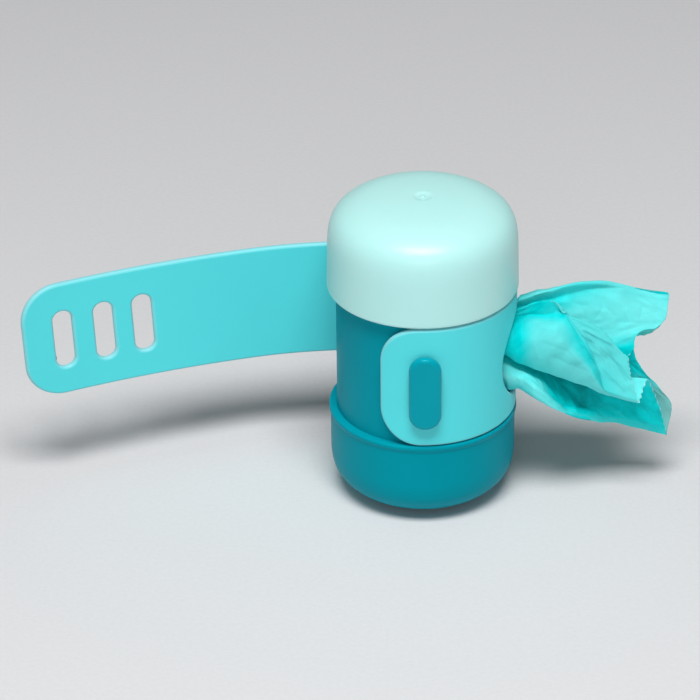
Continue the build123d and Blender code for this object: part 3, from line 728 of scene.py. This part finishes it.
def through(points, counts):
    """Cubic through a row of points (ribs, points, 3), with counts samples in each span and free ends."""
    p = points
    h = np.linalg.norm(np.diff(p, axis=1), axis=2, keepdims=True) + 1e-6
    s = np.diff(p, axis=1) / h
    m = np.empty_like(p)
    m[:, 1:-1] = (s[:, 1:] * h[:, :-1] + s[:, :-1] * h[:, 1:]) / (h[:, 1:] + h[:, :-1])
    if p.shape[1] > 2:
        m[:, 0], m[:, -1] = 1.5 * s[:, 0] - 0.5 * m[:, 1], 1.5 * s[:, -1] - 0.5 * m[:, -2]
    else:
        m[:, 0] = m[:, 1] = s[:, 0]
    rows = []
    for i, c in enumerate(counts):
        t = (np.arange(c) / c)[None, :, None]
        a, b, hh = p[:, i:i + 1], p[:, i + 1:i + 2], h[:, i:i + 1]
        rows.append((2 * t**3 - 3 * t**2 + 1) * a + (t**3 - 2 * t**2 + t) * hh * m[:, i:i + 1]
                    + (-2 * t**3 + 3 * t**2) * b + (t**3 - t**2) * hh * m[:, i + 1:i + 2])
    return np.concatenate(rows, axis=1)


def smooth_loop(g, times):
    for _ in range(times):
        g = 0.25 * np.roll(g, 1, axis=1) + 0.5 * g + 0.25 * np.roll(g, -1, axis=1)
    return g


def grid_normals(g):
    du = np.roll(g, -1, axis=1) - np.roll(g, 1, axis=1)
    dw = np.gradient(g, axis=0)
    n = np.cross(dw, du)
    return n / (np.linalg.norm(n, axis=2, keepdims=True) + 1e-12)


def smoothstep(a, b, x):
    t = np.clip((x - a) / (b - a), 0.0, 1.0)
    return t * t * (3 - 2 * t)


STROKES = [
    (39.0, 43.0, 46.6, 38.8, 0.7, -0.30, 1, "flap_edge", "ridge"), (39.2, 41.6, 42.2, 39.2, 0.5, 0.22, 0.9, "flap_edge", "ridge"),
    (40.4, 40.2, 45.6, 34.6, 0.9, 0.25, 0.35, "flap_edge", "ridge"), (43.0, 38.6, 48.6, 33.0, 0.8, -0.28, 0.45, "flap_edge", "ridge"),
    (46.0, 36.6, 50.6, 28.0, 0.9, 0.30, 0.3, "flap_edge", "ridge"), (38.4, 44.6, 43.6, 42.4, 0.6, 0.20, 0.3, "flap_edge", "ridge"),
    (43.8, 32.6, 49.8, 25.6, 0.9, -0.30, 0.3, "flap_edge", "ridge"), (41.0, 37.6, 43.8, 35.4, 0.5, -0.2, 0.5, "flap_edge", "ridge"),
    (42.4, 48.6, 45.6, 47.8, 0.7, -0.22, 0.12, "deep_fold", "valley"), (45.2, 49.6, 47.8, 46.8, 0.6, 0.25, 0.12, "deep_fold", "valley"),
    (36.5, 51.2, 41.0, 49.8, 1.1, 0.25, 0.12, "deep_fold", "valley"), (48.4, 54.6, 60.4, 51.6, 0.9, -0.25, 0.12, "deep_fold", "valley"),
    (47.6, 45.4, 58.6, 45.0, 1.4, 0.30, 0.12, "deep_fold", "valley"), (39.8, 46.4, 44.4, 45.8, 0.8, -0.20, 0.12, "deep_fold", "valley"),
    (49.6, 49.0, 51.4, 43.6, 1.2, -0.22, 0.12, "deep_fold", "valley"), (54.4, 50.6, 53.6, 46.2, 0.9, 0.18, 0.12, "deep_fold", "valley"),
    (25.6, 44.4, 32.0, 46.2, 1.2, 0.35, 0.12, "ridge", "cone_low"), (27.6, 44.2, 31.0, 43.4, 0.5, -0.18, 0.12, "ridge", "cone_low"),
    (26.6, 40.6, 28.4, 34.4, 1.0, -0.25, 0.12, "ridge", "cone_low"), (29.0, 39.4, 36.2, 36.6, 1.3, 0.28, 0.12, "ridge", "cone_low"),
    (33.6, 40.4, 38.6, 33.6, 1.2, -0.30, 0.12, "ridge", "cone_low"), (31.4, 35.4, 41.2, 30.8, 1.2, 0.25, 0.12, "ridge", "cone_low"),
    (36.0, 44.6, 39.4, 38.0, 0.8, -0.35, 0.12, "ridge", "cone_b"),
    (34.6, 28.0, 39.8, 21.6, 0.8, 0.45, 0.12, "inner_fold", "bottom_fold"), (38.4, 22.0, 42.4, 20.2, 0.6, 0.50, 0.12, "inner_fold", "bottom_fold"),
    (34.0, 21.4, 36.6, 19.6, 0.5, 0.55, 0.12, "inner_fold", "bottom_fold"), (42.8, 20.8, 45.2, 18.2, 0.6, 0.45, 0.12, "inner_fold", "bottom_fold"),
    (36.6, 23.6, 38.0, 19.4, 0.6, -0.45, 0.12, "inner_fold", "bottom_fold"), (46.0, 22.4, 52.0, 17.8, 1.0, -0.30, 0.12, "inner_fold", "bottom_fold"),
    (25.0, 28.6, 31.6, 22.8, 0.9, -0.35, 0.12, "inner_fold", "bottom_fold"), (50.6, 24.4, 56.2, 19.0, 0.9, 0.28, 0.12, "inner_fold", "bottom_fold"),
    (28.4, 30.0, 29.6, 25.6, 0.8, -0.35, 0.12, "inner_fold", "bottom_fold"), (54.0, 17.6, 60.0, 15.6, 0.7, -0.25, 0.12, "inner_fold", "bottom_fold"),
]


def film_tube():
    rng = np.random.RandomState(7)
    n_fan = 170
    w = np.linspace(0.0, 1.0, n_fan + 1)
    fan = []
    for name, crease, pts in RAILS:
        pts = np.array(pts, float)
        x = 24.5 + (pts[-1, 0] - 24.5) * w
        y = pchip(pts[:, 0], pts[:, 1], x)
        h = pchip(pts[:, 0], pts[:, 2], x)
        fan.append(np.stack([x, y, h - 0.566 * y], axis=1))
    fan = np.stack(fan, axis=1)                       # ribs, rails, xyz
    # neck: the first rib of the fan, drawn in through the strap's hole and the window
    kx, kk = np.array([p[0] for p in NECK]), np.array([p[1] for p in NECK])
    xn = np.arange(16.1, 24.5 - 0.1, 0.24)
    kn = pchip(kx, kk, xn)
    first = fan[0]
    neck = np.repeat(first[None], len(xn), axis=0)
    rmax = pchip(*np.array(NECK_R).T, xn)[:, None]
    dy, dz = (first[None, :, 1] - HOLE_MID[0]) * kn[:, None], (first[None, :, 2] - HOLE_MID[1]) * kn[:, None]
    # in front of the tube's round wall the film may already spread behind the strap's wider hole
    out = smoothstep(0.4, 1.6, xn[:, None] - np.sqrt(21.4 ** 2 - np.clip(dy, -15, 15) ** 2)) * smoothstep(-3.0, -7.0, dz)
    rmax = np.maximum(rmax, 10.3 + 1.4 * out)
    dz = dz + np.array([NECK_LIFT.get(r[0], 0.0) for r in RAILS])[None] * (1 - smoothstep(20.0, 24.5, xn))[:, None]
    shrink = (1 + (np.hypot(dy, dz) / rmax) ** 18) ** (-1 / 18)
    neck[:, :, 1] = HOLE_MID[0] + dy * shrink
    neck[:, :, 2] = HOLE_MID[1] + dz * shrink
    neck[:, :, 0] = xn[:, None]
    ribs = np.concatenate([neck, fan], axis=0)
    creases = [i for i, r in enumerate(RAILS) if r[1]]
    rows, rail = [], []
    for a, b in zip(creases, creases[1:] + [creases[0] + len(RAILS)]):
        idx = [i % len(RAILS) for i in range(a, b + 1)]
        seg = ribs[:, idx]
        longest = np.linalg.norm(np.diff(seg, axis=1), axis=2).max(axis=0)
        counts = [max(5, int(round(v / 0.36))) for v in longest]
        rows.append(through(seg, counts))
        rail += [i + k / c for i, c in zip(range(a, b), counts) for k in range(c)]
    g = np.concatenate(rows, axis=1)
    rail = np.array(rail)
    g = smooth_loop(g, 2)
    nw, nu = g.shape[:2]
    # flat coordinates: u along the loop at the wide end, v back from the torn edge
    seg_u = np.linalg.norm(np.roll(g, -1, axis=1) - g, axis=2)
    u_len = seg_u[int(nw * 0.8)]
    U = np.concatenate([[0.0], np.cumsum(u_len)])[:-1]
    total = float(u_len.sum())
    seg_v = np.linalg.norm(np.diff(g, axis=0), axis=2)
    V = np.zeros((nw, nu))
    V[:-1] = np.cumsum(seg_v[::-1], axis=0)[::-1]
    U2 = np.repeat(U[None], nw, axis=0)
    x = g[:, :, 0]
    # long soft creases that fan out of the window, then short sharp ones towards the torn edge
    disp = np.zeros((nw, nu))
    for i in range(300):
        cu, cv = rng.uniform(0, total), rng.uniform(0.5, 42.0)
        big = i < 80
        ang = rng.normal(0.0, 0.45 if big else 1.1)
        length, width = (rng.uniform(7, 15), rng.uniform(1.8, 4.2)) if big else (rng.uniform(2.5, 6.5), rng.uniform(0.8, 2.0))
        du = (U2 - cu + total / 2) % total - total / 2
        dv = V - cv
        along = dv * math.cos(ang) + du * math.sin(ang)
        across = -dv * math.sin(ang) + du * math.cos(ang)
        amp = rng.uniform(0.10, 0.40) * (1.0 if big else 0.6) * rng.choice([-1.0, 1.0])
        env = np.exp(-(along / length) ** 2 * 2.0)
        disp += amp * env * np.exp(-np.sqrt(across**2 + 0.10**2) / width * 1.6)
    # flat facets between straight crease lines
    for k in range(7):
        ang, wave = rng.uniform(-0.9, 0.9), rng.uniform(4.5, 10.0)
        ph = rng.uniform(0, 1)
        q = (U2 * math.cos(ang) + V * math.sin(ang)) / wave + ph + 0.22 * np.sin(V * rng.uniform(0.1, 0.25) + U2 * rng.uniform(0.05, 0.15) + 6.3 * ph)
        tri = np.abs(q % 1.0 - 0.5) * 2.0
        patch = 0.5 + 0.5 * np.sin(U2 * 2 * math.pi / total * rng.randint(1, 5) + rng.uniform(0, 6.3)) * np.sin(V * 0.13 + rng.uniform(0, 6.3))
        disp += rng.uniform(0.10, 0.22) * (tri - 0.5) * patch
    # creases that the photo shows, as strokes in the front view: (x0, h0, x1, h1, width, height, first rail, last rail)
    h_view = g[:, :, 2] + 0.566 * g[:, :, 1]
    lines = np.zeros((nw, nu))
    # fine, the seventh value of a stroke, sets the darkness painted along the crease as shade
    for x0, h0, x1, h1, width, amp, fine, r0, r1 in STROKES:
        dx, dh = x1 - x0, h1 - h0
        ln = math.hypot(dx, dh)
        along = ((x - x0) * dx + (h_view - h0) * dh) / ln
        across = ((x - x0) * -dh + (h_view - h0) * dx) / ln
        env = smoothstep(-0.6, 1.0, along) * (1 - smoothstep(ln - 1.0, ln + 0.6, along))
        names = [r[0] for r in RAILS]
        on = ((rail >= names.index(r0)) & (rail <= names.index(r1))).astype(float)[None]
        lines += fine * env * on * np.exp(-(across / 0.24) ** 2)
        disp += amp * env * on * np.exp(-np.sqrt(across**2 + 0.06**2) / width)
    # gathers at the window
    gather = np.zeros((nw, nu))
    for k in range(5):
        f, ph = rng.uniform(0.9, 2.4), rng.uniform(0, 6.3)
        gather += np.sin(2 * math.pi * U2 / total * round(f * 14) + ph + 0.25 * np.sin(V * 0.5 + ph))
    disp = disp * smoothstep(22.5, 29.0, x) * 1.0 + gather * 0.075 * (1 - smoothstep(23.0, 36.0, x)) * (0.4 + 0.6 * smoothstep(19.0, 24.0, x))
    g = g + grid_normals(g) * disp[:, :, None]
    # torn perforation: stretched tabs between the holes
    tang = g[-1] - g[-6]
    tang /= np.linalg.norm(tang, axis=1, keepdims=True) + 1e-12
    pitch = total / round(total / 1.75)
    tooth = np.abs(((U / pitch) % 1.0) - 0.5) * 2.0
    # the tabs stand out where the perforation was pulled open, and lie flat on the outer edges
    names = [r[0] for r in RAILS]
    pulled = smoothstep(names.index("tuck_a") - 0.6, names.index("tuck_a"), rail) * (1 - smoothstep(names.index("bottom_fold") - 0.5, names.index("bottom_fold") - 0.1, rail))
    pulled = pulled + 0.6 * smoothstep(names.index("back_e"), names.index("back_f"), rail) * (1 - smoothstep(names.index("back_g"), names.index("back_h"), rail))
    e = (0.06 + 0.24 * pulled) * np.clip(1.5 * tooth - 0.45, -0.2, 1.0) + 0.10 * np.sin(U * 0.9 + 1.0) * np.sin(U * 0.37) - 0.1
    g = g + tang[None] * (e[None] * smoothstep(0.90, 1.0, np.concatenate([np.zeros(len(xn)), w]))[:, None])[:, :, None]
    lipn = grid_normals(g)
    curl = pulled * 0.16 * np.sin(U * 2.1 + 0.7) * np.clip(1.5 * tooth - 0.45, 0.0, 1.0)
    g = g + lipn * (curl[None] * smoothstep(0.975, 1.0, np.concatenate([np.zeros(len(xn)), w]))[:, None])[:, :, None]
    lay = np.array([[LAYERS_AND_SHADE.get(n, (0.7, 0.5, 0.4, 0.3, 0.2))[k] for n in names] + [LAYERS_AND_SHADE[names[0]][k]] for k in range(len(LAYERS_AND_SHADE_X))])
    base = np.floor(rail).astype(int)
    part = smoothstep(0.0, 1.0, rail - base)[:, None]
    lay = (lay.T[base] * (1 - part) + lay.T[base + 1] * part).T
    # stacked film and painted shade, blended across the rails and along the length
    layers_and_shade = np.repeat(lay[0][None], nw, axis=0)
    for k in range(len(LAYERS_AND_SHADE_X) - 1):
        layers_and_shade = layers_and_shade + (lay[k + 1] - lay[k])[None] * smoothstep(LAYERS_AND_SHADE_X[k], LAYERS_AND_SHADE_X[k + 1], x)
    # the little turned-back corner shows its inner face, which is set to the full value of one: painted shade
    inner_face_shade = (smoothstep(names.index("cone_low") - 0.5, names.index("cone_low"), rail) * (1 - smoothstep(names.index("inner_fold") + 0.2, names.index("inner_fold") + 0.8, rail)))[None] * smoothstep(46.0, 49.0, x)
    # one layer only: beyond the front layer's torn edge; paler for the thin film, greyer and darker as painted shade
    # from the inside seen through it
    back = smoothstep(names.index("bottom_fold") + 0.15, names.index("bottom_fold") + 0.5, rail) * (1 - smoothstep(names.index("back_b") + 0.6, names.index("back_c") + 0.6, rail))
    notch = smoothstep(names.index("back_e") + 0.4, names.index("back_f"), rail) * (1 - smoothstep(names.index("back_g") + 0.2, names.index("back_h"), rail))
    single_layer_and_shade = np.clip(back[None] * smoothstep(50.0, 56.0, x) + notch[None] * smoothstep(46.0, 50.0, x), 0, 1)
    torn = np.repeat(np.clip(pulled, 0, 1)[None], nw, axis=0)
    return g, U, V, total, {"layers_and_shade": np.clip(layers_and_shade, 0, 1.7), "single_layer_and_shade": single_layer_and_shade, "torn": torn,
                               "inner_face_shade": inner_face_shade, "crease_shade_line": np.clip(lines * smoothstep(26.0, 30.0, x), 0, 1)}


def bag_piece():
    g, U, V, total, facts = film_tube()
    nw, nu = g.shape[:2]
    n = grid_normals(g)
    outer, inner = g + n * (FILM_T / 2), g - n * (FILM_T / 2)
    co = np.concatenate([outer.reshape(-1, 3), inner.reshape(-1, 3)]) * MM
    i = np.arange(nw * nu).reshape(nw, nu)
    a, b = i[:-1, :], i[1:, :]
    a2, b2 = np.roll(a, -1, axis=1), np.roll(b, -1, axis=1)
    out_f = np.stack([a, b, b2, a2], axis=-1).reshape(-1, 4)
    off = nw * nu
    in_f = np.stack([a + off, a2 + off, b2 + off, b + off], axis=-1).reshape(-1, 4)
    e0, e1 = i[0], i[-1]
    rim0 = np.stack([e0, np.roll(e0, -1), np.roll(e0, -1) + off, e0 + off], axis=-1)
    rim1 = np.stack([e1, e1 + off, np.roll(e1, -1) + off, np.roll(e1, -1)], axis=-1)
    faces = np.concatenate([out_f, in_f, rim0, rim1])
    me = bpy.data.meshes.new("bag_film_end")
    me.from_pydata([tuple(c) for c in co], [], [tuple(int(k) for k in f) for f in faces])
    me.polygons.foreach_set("use_smooth", [True] * len(me.polygons))
    for name, val in facts.items():
        v = val.reshape(-1).astype(np.float32)
        inner = v
        if name == "single_layer_and_shade":
            v = v * 0.0
        # the turned-back corner's inner face takes the full value of one here: painted shade
        if name == "layers_and_shade":
            inner_face_shade = np.repeat(facts["inner_face_shade"].reshape(-1).astype(np.float32), 1)
            inner = np.maximum(v * (1 - inner_face_shade), 1.0 - inner_face_shade)
        me.attributes.new(name, "FLOAT", "POINT").data.foreach_set("value", np.concatenate([inner, v]))
    uvs = np.stack([np.repeat(U[None], nw, axis=0), V], axis=-1).reshape(-1, 2) * MM
    uvs = np.concatenate([uvs, uvs])
    loops = np.empty(len(me.loops), int)
    me.loops.foreach_get("vertex_index", loops)
    layer = me.uv_layers.new(name="flat")
    luv = uvs[loops]
    # the seam of the loop: keep the last column's u running on past the total
    starts = np.arange(0, len(loops), 4)
    quad = luv.reshape(-1, 4, 2)
    wide = (quad[:, :, 0].max(axis=1) - quad[:, :, 0].min(axis=1)) > total * MM / 2
    q = quad[wide]
    q[:, :, 0] = np.where(q[:, :, 0] < total * MM / 2, q[:, :, 0] + total * MM, q[:, :, 0])
    quad[wide] = q
    layer.data.foreach_set("uv", quad.reshape(-1))
    me.update()
    o = bpy.data.objects.new("bag_film_end", me)
    scene.collection.objects.link(o)
    give(o, FILM)
    return o, total


bag, loop_mm = bag_piece()
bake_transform(bag)
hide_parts("lead_bag")

# ------------------------------------------------------------------ floor, light
m, nt, b, out = material("floor_paper")
co = node(nt, "ShaderNodeTexCoord").outputs["Object"]
g = noise(nt, co, 900.0, 3.0, 0.6)
nt.links.new(mix_rgb(nt, remap(nt, g, 0.3, 0.7, 0.0, 1.0), (0.70, 0.70, 0.71), (0.73, 0.73, 0.74)), b.inputs["Base Color"])
b.inputs["Roughness"].default_value = 0.85
b.inputs["Specular IOR Level"].default_value = 0.15
me = bpy.data.meshes.new("floor")
me.from_pydata([(-6, -6, -0.0001), (6, -6, -0.0001), (6, 6, -0.0001), (-6, 6, -0.0001)], [], [(0, 1, 2, 3)])
floor = bpy.data.objects.new("floor", me)
scene.collection.objects.link(floor)
floor.data.materials.append(m)

world = bpy.data.worlds.new("studio")
world.use_nodes = True
world.node_tree.nodes["Background"].inputs[0].default_value = (0.95, 0.97, 1.0, 1.0)
world.node_tree.nodes["Background"].inputs[1].default_value = 0.12
scene.world = world


def softbox(name, loc, target, size, power, colour=(1.0, 1.0, 1.0)):
    d = bpy.data.lights.new(name, "AREA")
    d.shape = "RECTANGLE"
    d.size, d.size_y = size
    d.energy = power
    d.color = colour
    o = bpy.data.objects.new(name, d)
    scene.collection.objects.link(o)
    o.location = loc
    o.rotation_mode = "QUATERNION"
    o.rotation_quaternion = (Vector(target) - Vector(loc)).to_track_quat("-Z", "Y")
    return o


softbox("key_overhead", (-0.02, -0.45, 1.10), (0, 0, 0.04), (0.62, 0.38), 13.3)
softbox("fill_front", (0.0, -1.5, 0.70), (0, 0, 0.04), (0.7, 0.6), 3.3)

scene.view_settings.view_transform = "Standard"
scene.view_settings.look = "None"
scene.view_settings.exposure = 0.0
scene.view_settings.gamma = 1.0
